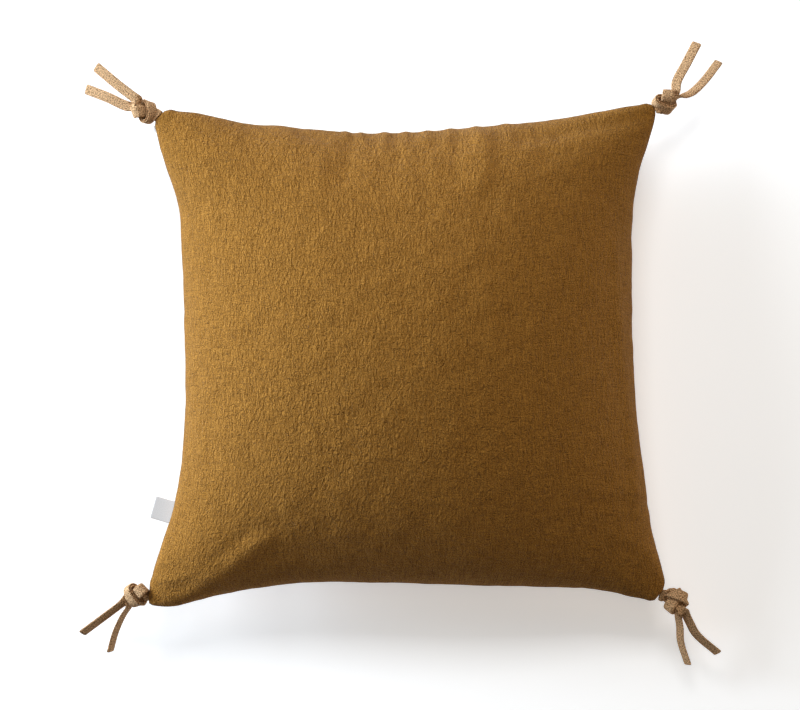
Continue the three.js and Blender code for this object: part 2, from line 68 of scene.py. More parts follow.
# Each side's seam, going round anticlockwise, by rows of
# (share of the way along, mm drawn in from the straight line between the two tips)
SIDES = {
    "bottom": (("bottom_left", "bottom_right"), (
        (0, 0), (0.04, -1.9), (0.07, -0.2), (0.1, 3.4), (0.14, 8.5), (0.2, 13.3), (0.28, 18.2),
        (0.36, 19.5), (0.57, 17), (0.73, 15), (0.85, 12), (0.9, 8.6), (0.94, 3.3), (1, 0))),
    "right": (("bottom_right", "top_right"), (
        (0, 0), (0.05, -0.9), (0.08, 1.6), (0.14, 8.8), (0.2, 12.6), (0.27, 16.4), (0.36, 21.5),
        (0.5, 24.6), (0.72, 24.4), (0.8, 22), (0.86, 17), (0.91, 10), (0.96, 2.8), (1, 0))),
    "top": (("top_right", "top_left"), (
        (0, 0), (0.05, 1), (0.1, 5.1), (0.19, 12.7), (0.27, 17.2), (0.36, 19.9), (0.46, 22.4),
        (0.57, 23.2), (0.65, 20.2), (0.73, 15.7), (0.8, 13.4), (0.86, 7.8), (0.93, 0.8), (1, 0))),
    "left": (("top_left", "bottom_left"), (
        (0, 0), (0.05, 3.2), (0.1, 9.4), (0.14, 16), (0.2, 24.3), (0.27, 26.5), (0.4, 30.3),
        (0.57, 32.6), (0.66, 31.6), (0.73, 29), (0.8, 23.4), (0.86, 15.6), (0.93, 6), (1, 0))),
}

# Folds of the front panel, in mm: from, to, half width, rise (below 0 for a trough)
FOLDS = (
    ((-178, -215), (-124, -163), 13, 4),
    ((-124, -163), (-92, -132), 15, 1.2),
    ((-196, -196), (-118, -150), 9, -3),
    ((140, 186), (214, 209), 8, -3),
    ((186, 120), (192, -90), 11, -2.5),
    ((212, -110), (222, -180), 8, 2.5),
    ((76, 196), (70, 150), 8, 2.5),
    ((-42, 191), (-46, 152), 8, -2.5),
)

# Broad swells, then smaller tucks, puckers and creases, pressed into the filled front panel,
# by rows as above
TUCKS = (
    ((98, 130), (98, -90), 75, 2.2),
    ((-90, 50), (-90, -90), 70, 1.0),
    ((-120, -171), (20, -175), 22, -1.6),
    ((-69, 170), (-68, 146), 5, 0.35),
    ((-59, 172), (-58, 150), 5, -0.5),
    ((-84, 193), (-66, 187), 4.5, -1.7),
    ((-47, 197), (-46, 189), 4, 1.3),
    ((-33, 196), (-33, 189), 3.6, 1.1),
    ((-12, 195), (-13, 182), 4.4, 1.3),
    ((0, 184), (-1, 168), 5, -0.5),
    ((6, 195), (4, 184), 4, 1.2),
    ((25, 196), (24, 186), 4.2, 1.1),
    ((18, 174), (17, 160), 5, -0.45),
    ((45, 197), (42, 186), 4.2, 1.2),
    ((31, 170), (31, 144), 4.5, 0.4),
    ((51, 180), (49, 152), 5.5, -0.7),
    ((66, 199), (69, 190), 4.2, 1.2),
    ((76, 182), (80, 152), 6, 0.6),
    ((92, 200), (96, 190), 4.5, 1.0),
    ((110, 186), (214, 207), 7, -2.0),
    ((122, 190), (124, 176), 5, -0.7),
    ((150, 192), (152, 178), 5, -0.6),
    ((187, 95), (190, 25), 5.5, 1.6),
    ((190, 25), (201, -70), 5.5, 1.6),
    ((201, -70), (207, -135), 4.5, 1.1),
    ((163, -116), (203, -121), 4.5, 0.7),
    ((168, -128), (214, -132), 5, -0.8),
    ((196, -160), (222, -176), 4.5, 0.7),
    ((-219, -200), (-187, -194), 3.5, 0.8),
    ((-212, -207), (-184, -202), 4, -0.5),
    ((-172, -152), (-148, -172), 6, 0.6),
    ((-160, -144), (-138, -160), 6, -0.6),
    ((-163, -134), (-108, -134), 3, 0.2),
    ((-57, 0), (-14, 0), 3, 0.2),
    ((-42, -29), (-14, -32), 3, 0.2),
    ((-2, -22), (25, -6), 3, 0.2),
)

# Soft crumple all over the cover: wavelength and height in mm, plane waves, seed
CRUMPLE = ((34, 0.3, 16, 5), (13, 0.12, 24, 9))

# How far the back panel rolls out past the seam, in mm, by rings of cloth from the seam inwards
BACK_ROLL = (0.9, 1.6, 1.9, 1.7, 1.1, 0.5)

# The back panel's cloth map starts this many panel sides away from the front panel's
MAP_SHIFT = 1.1

# One tie a corner, in mm and degrees. size scales the knot, axis is the plan angle from neck
# to tails, droop tips it down, roll turns the knot about it, and hand is 1 or -1 for a right
# or left knot. A tail is (layer it leaves from, points it passes, tip, tilt of its flat face
# at the tip).
TIES = {
    "tie_top_left": {
        "corner": "top_left", "middle": (-223.5, 212.3, 49), "size": 0.9,
        "axis": 154, "droop": 5, "roll": 210, "hand": -1,
        "tails": (
            (1, ((-228, 220.8, 50), (-246, 235.8, 46)), (-265.8, 252.4, 39), -20),
            (-1, ((-236.7, 217, 47), (-256.4, 225.2, 42)), (-275.8, 232.9, 33), -15),
        ),
    },
    "tie_top_right": {
        "corner": "top_right", "middle": (233.5, 221.5, 48), "size": 0.92,
        "axis": 44, "droop": 5, "roll": 215, "hand": -1,
        "tails": (
            (-1, ((243, 236.6, 50), (252, 254.3, 46)), (261.8, 272.8, 41), -25),
            (1, ((247, 226.4, 45), (255.5, 229.3, 42), (265.8, 238.5, 40)), (281, 257.8, 34), -40),
        ),
    },
    "tie_bottom_left": {
        "corner": "bottom_left", "middle": (-229.2, -210.3, 46), "size": 0.9,
        "axis": 200, "droop": 7, "roll": 318, "hand": -1,
        "tails": (
            (-1, ((-241, -216.6, 43), (-259, -230.1, 37)), (-279.3, -245.2, 30), -48),
            (1, ((-235.5, -220, 41), (-242, -231, 37), (-248.5, -245, 31)), (-253.8, -262.8, 24), -58),
        ),
    },
    "tie_bottom_right": {
        "corner": "bottom_right", "middle": (241.8, -216.3, 44), "size": 0.88,
        "axis": -75, "droop": 7, "roll": 6, "hand": 1,
        "tails": (
            (1, ((244.5, -229, 39.5), (246, -240, 35), (247, -253, 30)), (254, -274.3, 23), 55),
            (-1, ((250.5, -226, 41), (255.5, -235, 37), (261.5, -245.5, 33)), (281.5, -263, 24), 45),
        ),
    },
}

# How the tape's knot is drawn tight. In mm: the band's width and its length when slack and
# when tight, the pull in each pass, the clearance between wraps, and how far from the knot's
# middle its wraps are kept. The last two are the shares smoothed out in each pass.
KNOT = {
    "sections": 112, "across": 5, "band": 12.0, "slack": 345.0, "tight": 138.0, "passes": 1600,
    "pull": 0.12, "clearance": 4.4, "lead": 10.5, "lengthwise": 0.15, "crosswise": 0.12,
}

# Share of a tail's length over which its flat face turns to how it lies at the tip
TURNED = 0.2

# Between a piece and the cover that it is sewn to, in mm
SEWN_GAP = 0.3

# Cloth simulation of the linen
CLOTH = {
    "quality": 6, "mass": 0.15, "tension_stiffness": 30, "compression_stiffness": 10,
    "shear_stiffness": 8, "bending_stiffness": 0.6, "use_pressure": True,
    "vertex_group_mass": "seam",
}

# Sides of each soft box, and how far over the floor they all aim, in metres
SOFTBOX_SIDES = (1.2, 0.7)
AIM_HEIGHT = 0.06

# Soft boxes: name, plan angle and elevation in degrees, power in watts, colour
SOFTBOXES = (
    ("key_low", 165, 8, 120, "#d6eaff"),
    ("key", 156, 25, 43, "#e8f4ff"),
    ("top", 90, 50, 30, "#ffffff"),
    ("right", 0, 12, 14, "#ffeed8"),
    ("overhead", 0, 88, 7.3, "#ffe8c6"),
)


def linear(hex_colour):
    """An sRGB hex colour as linear red, green and blue."""
    parts = [int(hex_colour[i:i + 2], 16) / 255 for i in (1, 3, 5)]
    return tuple(c / 12.92 if c <= 0.04045 else ((c + 0.055) / 1.055) ** 2.4 for c in parts)


def colour(name, description, hex_colour):
    return bpy.props.FloatVectorProperty(
        name=name, description=description, subtype="COLOR", size=3, min=0, max=1,
        default=linear(hex_colour))


def number(name, description, default, **kind):
    return bpy.props.FloatProperty(name=name, description=description, default=default, **kind)


def length(name, description, default_mm):
    return number(name, description, default_mm * MM, unit="LENGTH", subtype="DISTANCE")


class CushionCover(bpy.types.PropertyGroup):
    """Sizes and colours of the filled linen cover."""

    panel_side: length("Panel side", "Side of each square panel before it is filled", 450)
    crown_rise: length("Crown rise", "Crown above the sheet between the seams", 84)
    back_drop: length("Back drop", "Back panel below that sheet before the floor flattens it", 80)
    seam_height: length("Seam height", "Seam above the floor at the middle of a side", 56)
    rim_roundness: number(
        "Rim roundness", "0.5 gives an elliptic rim, 1 a parabolic one", 0.56, subtype="FACTOR")
    cells: bpy.props.IntProperty(
        name="Cells", description="Cloth cells along each side of a panel", default=100)
    filling_pressure: number("Filling pressure", "How hard the filling pushes on the cloth", 4.0)
    most_shift: length("Most shift", "Furthest that the filling moves a point of cloth", 6)
    thread_spacing: length("Thread spacing", "From one thread of the weave to the next", 0.9)
    crinkle: length("Crinkle", "From one fine crinkle of the washed cloth to the next", 2.38095)
    linen: colour("Linen", "Washed ochre-brown linen", "#8f6226")


class CushionTape(bpy.types.PropertyGroup):
    """Sizes and colours of the braided tape ties."""

    width: length("Width", "Width of the flat tape", 9.4)
    thickness: length("Thickness", "Thickness of one layer of the tape", 1.85)
    layer_offset: length("Layer offset", "From the doubled tape's middle to each layer's", 0.95)
    braid_pitch: length("Braid pitch", "Length of one stitch of the braid", 1.4)
    flax: colour("Flax", "Undyed flax fibre", "#b8936c")


class CushionLabels(bpy.types.PropertyGroup):
    """Sizes and colours of the woven labels."""

    side_out: length("Side label reach", "How far the folded side label stands out", 18.5)
    side_wide: length("Side label width", "Width of the side label along the seam", 20)
    care_out: length("Care label reach", "How far the tip of the care label stands out", 6.5)
    care_wide: length("Care label width", "Width of the care label along the seam", 6.5)
    thickness: length("Thickness", "Thickness of one layer of the label tape", 0.35)
    rib: length("Rib", "From one rib of the label's weave to the next", 0.55556)
    tape: colour("Label tape", "Grey-white woven label tape", "#dcd7d3")


class CushionStage(bpy.types.PropertyGroup):
    """Floor, lights and camera."""

    floor: colour("Floor", "Plain pale floor", "#f6f6f6")
    floor_side: length("Floor side", "Side of the square floor", 12000)
    floor_glow: number("Floor glow", "Light that the pale floor gives off", 0.42)
    room_light: number("Room light", "Even light from all round", 0.02)
    light_distance: length("Light distance", "Soft boxes from the cushion", 2700)
    camera_height: length("Camera height", "Camera above the seams", 3889)
    lens: number("Lens", "Focal length", 200.0, unit="CAMERA")


# Nodes


def new_material(name):
    """A material, its node tree and its shader."""
    material = bpy.data.materials.new(name)
    material.use_nodes = True
    return material, material.node_tree, material.node_tree.nodes["Principled BSDF"]


def add_node(tree, kind, settings=None, inputs=None):
    """A node with its settings, and with each input set to a value or linked to a socket."""
    node = tree.nodes.new(kind)
    for key, value in (settings or {}).items():
        setattr(node, key, value)
    set_inputs(tree, node, inputs or {})
    return node


def set_inputs(tree, node, inputs):
    """Sets each named input to a value, or links it to a socket."""
    for key, value in inputs.items():
        if isinstance(value, bpy.types.NodeSocket):
            tree.links.new(value, node.inputs[key])
        else:
            node.inputs[key].default_value = value


def times(tone, shares):
    """A colour with each of its parts scaled, and none past 1."""
    return tuple(min(1, part * share) for part, share in zip(tone, shares))


def set_tones(ramp, *tones):
    """Colour ramp through tones given as (place along the ramp, colour)."""
    stops = ramp.color_ramp.elements
    while len(stops) < len(tones):
        stops.new(0.5)
    for stop, (place, tone) in zip(stops, tones):
        stop.position = place
        stop.color = (*tone, 1)


# Cover


def drawn_in(rows, along):
    """Smooth curve through a side's rows, read at shares of the way along."""
    x, y = np.array(rows, float).T
    before = np.maximum(np.arange(len(x)) - 1, 0)
    after = np.minimum(np.arange(len(x)) + 1, len(x) - 1)
    slope = (y[after] - y[before]) / (x[after] - x[before])
    k = np.clip(np.searchsorted(x, along, side="left") - 1, 0, len(x) - 2)
    span = x[k + 1] - x[k]
    t = (along - x[k]) / span
    return ((2 * t**3 - 3 * t**2 + 1) * y[k] + (t**3 - 2 * t**2 + t) * span * slope[k]
            + (3 * t**2 - 2 * t**3) * y[k + 1] + (t**3 - t**2) * span * slope[k + 1])


def tip(corner):
    return np.array(CORNERS[corner]["tip"], float)


def seam(side, along, seam_height):
    """Points of a seam in mm, at shares of the way along."""
    (first, last), rows = SIDES[side]
    start, end = tip(first), tip(last)
    inwards = unit(np.array([start[1] - end[1], end[0] - start[0], 0]))
    along = np.asarray(along, float)
    points = start + along[..., None] * (end - start) + drawn_in(rows, along)[..., None] * inwards
    lift, levelling = seam_height - 0.5 * (start[2] + end[2]), 0.8
    points[..., 2] += lift * np.sin(np.pi * np.clip(along, 0, 1)) ** levelling
    return points


def seam_sheet(s, t, seam_height):
    """The sheet between the four seams, blended from them, in mm."""
    s3, t3 = s[..., None], t[..., None]
    return ((1 - t3) * seam("bottom", s, seam_height) + t3 * seam("top", 1 - s, seam_height)
            + (1 - s3) * seam("left", 1 - t, seam_height) + s3 * seam("right", t, seam_height)
            - (1 - s3) * (1 - t3) * tip("bottom_left") - s3 * (1 - t3) * tip("bottom_right")
            - s3 * t3 * tip("top_right") - (1 - s3) * t3 * tip("top_left"))


def fold_rise(points, folds):
    """Height of the folds, in mm, at points given by their plan x and y."""
    rise = np.zeros(points.shape[:-1])
    end_fade = 1.5
    for start, end, width, height in folds:
        start, end = np.array(start, float), np.array(end, float)
        run = end - start
        reach = np.linalg.norm(run)
        away = points[..., :2] - start
        along = away @ run / reach
        aside = (away[..., 1] * run[0] - away[..., 0] * run[1]) / reach
        beyond = np.maximum(np.maximum(-along, along - reach), 0)
        rise += height * np.exp(-((aside / width) ** 2) - (beyond / (end_fade * width)) ** 2)
    return rise


def even_shares(cover, count):
    """Shares across a panel's middle that cut the crowned cloth there into even lengths."""
    fine = np.linspace(0, 1, 4001)
    drawn_in_width = 400.0
    rise = cover.crown_rise / MM * (4 * fine * (1 - fine)) ** cover.rim_roundness
    run = run_along(np.stack([fine * drawn_in_width, rise], 1))
    return np.interp(np.linspace(0, run[-1], count), run, fine)


def cover_points(cover):
    """Front and back panel as grids of points in mm, with the cloth spread evenly."""
    count = cover.cells + 1
    even = np.linspace(0, 1, count)
    crowded = even_shares(cover, count)
    bulge = (4 * even * (1 - even)) ** cover.rim_roundness
    s = even[:, None] + np.outer(crowded - even, bulge)
    t = even[None, :] + np.outer(bulge, crowded - even)
    sheet = seam_sheet(s, t, cover.seam_height / MM)
    full = np.clip(16 * s * (1 - s) * t * (1 - t), 0, 1) ** cover.rim_roundness
    front, back = sheet.copy(), sheet.copy()
    rim_share = 0.25
    clear_of_rim = np.minimum(1, full / rim_share)
    front[..., 2] += cover.crown_rise / MM * full + clear_of_rim * fold_rise(sheet, FOLDS)
    back[..., 2] = np.maximum(back[..., 2] - cover.back_drop / MM * full, 0)
    return front, back


def cover_mesh(cover):
    """Two square panels joined along their rim, how they lie flat, and the rim's points."""
    front, back = cover_points(cover)
    n = cover.cells + 1
    rim = np.zeros((n, n), bool)
    rim[[0, -1], :] = rim[:, [0, -1]] = True
    vertex_of = {"front": np.arange(n * n).reshape(n, n), "back": np.zeros((n, n), int)}
    vertex_of["back"][rim] = vertex_of["front"][rim]
    vertex_of["back"][~rim] = n * n + np.arange((n - 2) ** 2)
    points = np.concatenate([front.reshape(-1, 3), back[~rim]])
    faces, uvs = [], []
    cloth = np.linspace(-0.5, 0.5, n) * cover.panel_side
    for panel, order, shift in (("front", 1, 0), ("back", -1, MAP_SHIFT * cover.panel_side)):
        for i in range(n - 1):
            for j in range(n - 1):
                quad = [(i, j), (i + 1, j), (i + 1, j + 1), (i, j + 1)][::order]
                faces.append([int(vertex_of[panel][cell]) for cell in quad])
                uvs.extend((order * cloth[a] + shift, cloth[b]) for a, b in quad)
    mesh = bpy.data.meshes.new("cover")
    mesh.from_pydata(((points - PLAN_MIDDLE) * MM).tolist(), [], faces)
    add_cloth_map(mesh, uvs)
    flat = np.zeros_like(points)
    grid = np.stack(np.meshgrid(cloth, cloth, indexing="ij"), -1)
    flat[:n * n, :2] = grid.reshape(-1, 2)
    flat[n * n:, :2] = grid[~rim]
    return mesh, flat, np.flatnonzero(rim.ravel())


def vertex_values(mesh, name):
    values = np.zeros(3 * len(mesh.vertices), np.float32)
    mesh.vertices.foreach_get(name, values)
    return values.reshape(-1, 3).astype(float)


def set_points(mesh, points):
    mesh.vertices.foreach_set("co", points.astype(np.float32).ravel())
    mesh.update()


def add_object(name, mesh):
    piece = bpy.data.objects.new(name, mesh)
    bpy.context.scene.collection.objects.link(piece)
    return piece


def add_cloth_map(mesh, uvs):
    """The piece's own UV map, in metres of cloth."""
    layer = mesh.uv_layers.new(name="cloth")
    layer.data.foreach_set("uv", np.array(uvs, np.float32).ravel())
    mesh.update()


def apply_modifiers(piece):
    """Replaces a piece's mesh with the one that its modifiers make."""
    evaluated = piece.evaluated_get(bpy.context.evaluated_depsgraph_get())
    mesh = bpy.data.meshes.new_from_object(evaluated)
    piece.modifiers.clear()
    if piece.data.shape_keys:
        piece.shape_key_clear()
    piece.data = mesh


def subdivide_once(piece):
    finer = piece.modifiers.new("finer", "SUBSURF")
    finer.levels = finer.render_levels = 1
    apply_modifiers(piece)


def run_along(line):
    """Length along a line of points, up to each point."""
    return np.concatenate([[0], np.cumsum(np.linalg.norm(np.diff(line, axis=0), axis=1))])


def unit(vector):
    return vector / np.maximum(np.linalg.norm(vector, axis=-1, keepdims=True), 1e-9)


def fill_cover(piece, flat, seam_points, cover):
    """Cloth simulation: the filling presses the flat-cut panels out between pinned seams."""
    start = vertex_values(piece.data, "co")
    pinned = piece.vertex_groups.new(name="seam")
    pinned.add([int(v) for v in seam_points], 1.0, "REPLACE")
    piece.shape_key_add(name="made")
    cut = piece.shape_key_add(name="cut")
    cut.data.foreach_set("co", flat.astype(np.float32).ravel())
    cut.value = 0
    cloth = piece.modifiers.new("filling", "CLOTH")
    for name, value in CLOTH.items():
        setattr(cloth.settings, name, value)
    cloth.settings.uniform_pressure_force = cover.filling_pressure
    cloth.settings.rest_shape_key = cut
    cloth.settings.effector_weights.gravity = 0
    cloth.collision_settings.use_self_collision = False
    cloth.collision_settings.use_collision = False
    last_frame = 20
    cloth.point_cache.frame_start, cloth.point_cache.frame_end = 1, last_frame
    for step in range(1, last_frame + 1):
        bpy.context.scene.frame_set(step)
    apply_modifiers(piece)
    bpy.context.scene.frame_set(1)
    moved = vertex_values(piece.data, "co") - start
    distance = np.linalg.norm(moved, axis=1, keepdims=True)
    most = cover.most_shift
    points = start + moved * np.minimum(1, most / np.maximum(distance, 1e-9))
    points[:, 2] = np.maximum(points[:, 2], 0)
    set_points(piece.data, points)


def waves(points, wavelength, count, seed):
    """Soft random relief, about -1 to 1, as a sum of plane waves in random directions."""
    draw = np.random.default_rng(seed)
    total = np.zeros(len(points))
    shortest, longest, climb = 0.7, 1.5, 0.6
    for turn, stretch, phase in zip(draw.uniform(0, 2 * math.pi, count),
                                    draw.uniform(shortest, longest, count),
                                    draw.uniform(0, 2 * math.pi, count)):
        direction = np.array([math.cos(turn), math.sin(turn), climb])
        total += np.sin(2 * math.pi * points @ direction / (wavelength * stretch) + phase)
    return total / math.sqrt(2 * count)


def crumple(piece):
    """Presses the tucks and a soft crumple into the cloth, along its normals. The tucks fade
    where the cloth turns under, and all of it fades just above the floor."""
    points = vertex_values(piece.data, "co")
    normals = vertex_values(piece.data, "normal")
    plan = points / MM + PLAN_MIDDLE
    raised = sum(height * waves(plan, wavelength, count, seed)
                 for wavelength, height, count, seed in CRUMPLE)
    turned_under, fade, floor_fade = -0.35, 0.12, 6 * MM
    front = 1 / (1 + np.exp((turned_under - normals[:, 2]) / fade))
    raised += front * fold_rise(plan, TUCKS)
    raised *= np.clip(points[:, 2] / floor_fade, 0, 1)
    points += raised[:, None] * MM * normals
    points[:, 2] = np.maximum(points[:, 2], 0)
    set_points(piece.data, points)


def show_back(piece, cover):
    """Rolls the back panel slightly out past the seam, so that its edge shows: at the left and
    the right, and less at the top, where the middle stays in."""
    points = vertex_values(piece.data, "co")
    n = cover.cells + 1
    inner = n * n + np.arange((n - 2) ** 2).reshape(n - 2, n - 2)
    along = np.arange(1, n - 1) / (n - 1)
    at_sides = np.sin(np.pi * along) ** 0.5
    top_share, top_middle = 0.7, 0.14
    at_top = top_share * at_sides * (1 - np.exp(-((along - 0.5) / top_middle) ** 2))
    for ring, out in enumerate(BACK_ROLL):
        points[inner[ring], 0] -= out * MM * at_sides
        points[inner[-1 - ring], 0] += out * MM * at_sides
        points[inner[:, -1 - ring], 1] += out * MM * at_top
    set_points(piece.data, points)


def fill_out(verts, place, normal, plump):
    """Fills out a corner's end about its neck, and rounds it over close to the cut."""
    filled_reach, rounded_reach, rounding = 6, 3, 0.2
    for vert in verts:
        away = vert.co - place
        behind = -(away @ normal) / MM
        aside = away + behind * MM * normal
        grown = 1 + plump * math.exp(-((behind / filled_reach) ** 2))
        rounded = 1 - rounding * max(0, 1 - max(behind, 0) / rounded_reach) ** 2
        vert.co += aside * (grown * rounded - 1)


def cut_corners(piece):
    """Cuts each drawn-out corner blunt, where the tie leaves it."""
    end_reach, cut_reach = 20 * MM, 30 * MM
    mesh = bmesh.new()
    mesh.from_mesh(piece.data)
    for corner in CORNERS.values():
        angle = math.radians(corner["facing"])
        normal = Vector((math.cos(angle), math.sin(angle), 0))
        place = Vector((*corner["neck"], corner["tip"][2]))
        place = (place - Vector(PLAN_MIDDLE)) * MM
        end = [v for v in mesh.verts if (v.co - place).length < end_reach]
        fill_out(end, place, normal, corner["plump"])
        near = [v for v in mesh.verts if (v.co - place).length < cut_reach]
        near_faces = {f for v in near for f in v.link_faces}
        near_edges = {e for f in near_faces for e in f.edges}
        verts = {v for f in near_faces for v in f.verts}
        cut = bmesh.ops.bisect_plane(
            mesh, geom=[*verts, *near_edges, *near_faces], plane_co=place, plane_no=normal,
            clear_outer=True)
        edges = [e for e in cut["geom_cut"] if isinstance(e, bmesh.types.BMEdge)]
        bmesh.ops.holes_fill(mesh, edges=edges, sides=0)
    bmesh.ops.recalc_face_normals(mesh, faces=mesh.faces)
    mesh.to_mesh(piece.data)
    mesh.free()
    piece.data.update()


def seam_shade(tree, cloth, side):
    """1 on the open cloth, down to painted shade in the crease of the stitched seam, from the panels'
    own map.
    """
    darkest, reach = 0.3, 2.2 * MM
    half_shift = 0.5 * MAP_SHIFT * side
    split = add_node(tree, "ShaderNodeSeparateXYZ", inputs={"Vector": cloth.outputs["UV"]})
    both = add_node(tree, "ShaderNodeMath", {"operation": "WRAP"}, {
        0: split.outputs["X"], 1: half_shift, 2: -half_shift})
    across = add_node(tree, "ShaderNodeMath", {"operation": "ABSOLUTE"}, {0: both.outputs["Value"]})
    along = add_node(tree, "ShaderNodeMath", {"operation": "ABSOLUTE"}, {0: split.outputs["Y"]})
    outer = add_node(tree, "ShaderNodeMath", {"operation": "MAXIMUM"}, {
        0: across.outputs["Value"], 1: along.outputs["Value"]})
    return add_node(tree, "ShaderNodeMapRange", {"interpolation_type": "SMOOTHSTEP"}, {
        "Value": outer.outputs["Value"], "From Min": 0.5 * side, "From Max": 0.5 * side - reach,
        "To Min": darkest, "To Max": 1.0}).outputs["Result"]


def slubbed_weave(tree, cloth, streak):
    """Uneven streaks along both ways of the cloth, each about a streak wide, with grain."""
    # Cells of noise in a streak's width, each way, and how far the streaks lean, in radians
    warp, weft = ((1.6, 0.12, 1), 0.03), ((0.12, 1.6, 1), -0.02)
    threads = []
    for cells, lean in (warp, weft):
        stretched = add_node(tree, "ShaderNodeMapping", {"vector_type": "TEXTURE"}, {
            "Vector": cloth.outputs["UV"], "Rotation": (0, 0, lean),
            "Scale": [streak / count for count in cells]})
        threads.append(add_node(tree, "ShaderNodeTexNoise", {"noise_dimensions": "2D"}, {
            "Vector": stretched.outputs["Vector"], "Scale": 1.0, "Detail": 2.0,
            "Roughness": 0.65, "Distortion": 0.6}).outputs["Fac"])
    streaks = add_node(tree, "ShaderNodeMix", {"data_type": "FLOAT"}, {
        "Factor": 0.42, "A": threads[0], "B": threads[1]})
    grain = add_node(tree, "ShaderNodeTexNoise", {"noise_dimensions": "2D"}, {
        "Vector": cloth.outputs["UV"], "Scale": 1.9 / streak, "Detail": 1.0,
        "Roughness": 0.5})
    return add_node(tree, "ShaderNodeMix", {"data_type": "FLOAT"}, {
        "Factor": 0.55, "A": streaks.outputs["Result"], "B": grain.outputs["Fac"],
        }).outputs["Result"]


def washed_linen(cover):
    """Plain-weave linen, washed: matt, with slubbed threads that differ in tone and
    thickness, which gives the eye fine uneven streaks both ways, with a painted highlight on
    the threads and painted shade in the gaps between them, a soft crinkle and painted shade
    in the seam's crease. The real threads lie too close to show at the render's size, so the
    streaks are drawn about two threads wide."""
    material, tree, surface = new_material("washed_linen")
    cloth = add_node(tree, "ShaderNodeUVMap", {"uv_map": "cloth"})
    weave = slubbed_weave(tree, cloth, 2 * cover.thread_spacing)
    tone = add_node(tree, "ShaderNodeValToRGB", inputs={"Fac": weave})
    # The deep tone is partly painted shade in the gaps between the threads, and the pale one, lighter
    # and less saturated, is a painted highlight on them; between the two lies the threads' own uneven
    # tone.
    deep, pale = (0.42, 0.35, 0.18), (1.66, 1.72, 1.9)
    set_tones(tone, (0.34, times(cover.linen, deep)), (0.66, times(cover.linen, pale)))
    # The weave's tones darkened by the painted shade in the seam's crease
    shaded = add_node(tree, "ShaderNodeMix", {"data_type": "RGBA", "blend_type": "MULTIPLY"}, {
        "Factor": 1.0, "A": tone.outputs["Color"], "B": seam_shade(tree, cloth, cover.panel_side)})
    lengthwise = add_node(tree, "ShaderNodeMapping", inputs={
        "Vector": cloth.outputs["UV"], "Scale": (1.0, 0.55, 1)})
    crinkle = add_node(tree, "ShaderNodeTexNoise", {"noise_dimensions": "2D"}, {
        "Vector": lengthwise.outputs["Vector"], "Scale": 1 / cover.crinkle, "Detail": 1.5,
        "Roughness": 0.6, "Distortion": 0.6})
    relief = add_node(tree, "ShaderNodeBump", inputs={
        "Height": crinkle.outputs["Fac"], "Strength": 1.0, "Distance": 2.0 * MM})
    bump = add_node(tree, "ShaderNodeBump", inputs={
        "Height": weave, "Normal": relief.outputs["Normal"], "Strength": 1.0,
        "Distance": 1.0 * MM})
    set_inputs(tree, surface, {
        "Base Color": shaded.outputs["Result"], "Normal": bump.outputs["Normal"],
        "Roughness": 0.95, "Specular IOR Level": 0.1, "Sheen Weight": 0.05,
        "Sheen Roughness": 0.5})
    return material


class CUSHION_OT_cover(bpy.types.Operator):
    """Make the filled linen cover"""

    bl_idname = "cushion.cover"
    bl_label = "Filled Cover"

    def execute(self, context):
        cover = context.scene.cushion_cover
        mesh, flat, seam_points = cover_mesh(cover)
        piece = add_object("linen_cover", mesh)
        fill_cover(piece, flat, seam_points, cover)
        show_back(piece, cover)
        subdivide_once(piece)
        crumple(piece)
        cut_corners(piece)
        piece.data.shade_smooth()
        piece.data.materials.clear()
        piece.data.materials.append(washed_linen(cover))
        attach(piece, "root")
        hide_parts("cushion")
        return {"FINISHED"}


# Knot: a band of points that starts as a loose overhand loop and is pulled tight, in mm


def loose_loop():
    """Middle line of a long trefoil, its ends apart along x."""
    reach = 2.25
    t = np.linspace(-reach, reach, 2001)
    line = np.stack([t**3 - 3 * t, t**4 - 4 * t**2, t**5 / 5 - 2 * t], 1)
    along = line[-1] - line[0]
    along /= np.linalg.norm(along)
    up = np.array([0, 1.0, 0])
    up -= up @ along * along
    up /= np.linalg.norm(up)
    line = (line - line.mean(0)) @ np.stack([along, up, np.cross(along, up)], 1)
    run = run_along(line)
    even = np.linspace(0, run[-1], KNOT["sections"])
    points = np.stack([np.interp(even, run, line[:, a]) for a in range(3)], 1)
    return points * KNOT["slack"] / run[-1]


def across_offsets(width):
    return width * (np.arange(KNOT["across"]) / (KNOT["across"] - 1) - 0.5)


def loose_band(width):
    """The band along that line, its flat face carried along without twist."""
    line = loose_loop()
    aside = np.array([0, 0, 1.0])
    band = np.zeros((len(line), KNOT["across"], 3))
    for n, middle in enumerate(line):
        tangent = line[min(n + 1, len(line) - 1)] - line[max(n - 1, 0)]
        tangent /= np.linalg.norm(tangent)
        aside = aside - aside @ tangent * tangent
        aside /= np.linalg.norm(aside)
        band[n] = middle + across_offsets(width)[:, None] * aside
    return band


def relax(one, other, rest, share):
    """Moves pairs of points to their rest distance, each by half of what is missing."""
    away = other - one
    distance = np.maximum(np.linalg.norm(away, axis=-1, keepdims=True), 1e-9)
    away *= 0.5 * share * (distance - rest) / distance
    one += away
    other -= away


def hold_shape(band, step, width):
    """Keeps the band's own length, width and squareness for one sweep."""
    count = len(band)
    thread = width / (KNOT["across"] - 1)
    for parity in (0, 1):
        last = parity + 2 * ((count - parity) // 2)
        relax(band[parity:last:2], band[parity + 1:last + 1:2], step, 1)
    for parity in (0, 1):
        relax(band[:, parity:-1:2], band[:, parity + 1::2], thread, 1)
    diagonal = math.hypot(thread, step)
    for parity in (0, 1):
        last = parity + 2 * ((count - parity) // 2)
        relax(band[parity:last:2, :-1], band[parity + 1:last + 1:2, 1:], diagonal, 0.5)
        relax(band[parity:last:2, 1:], band[parity + 1:last + 1:2, :-1], diagonal, 0.5)


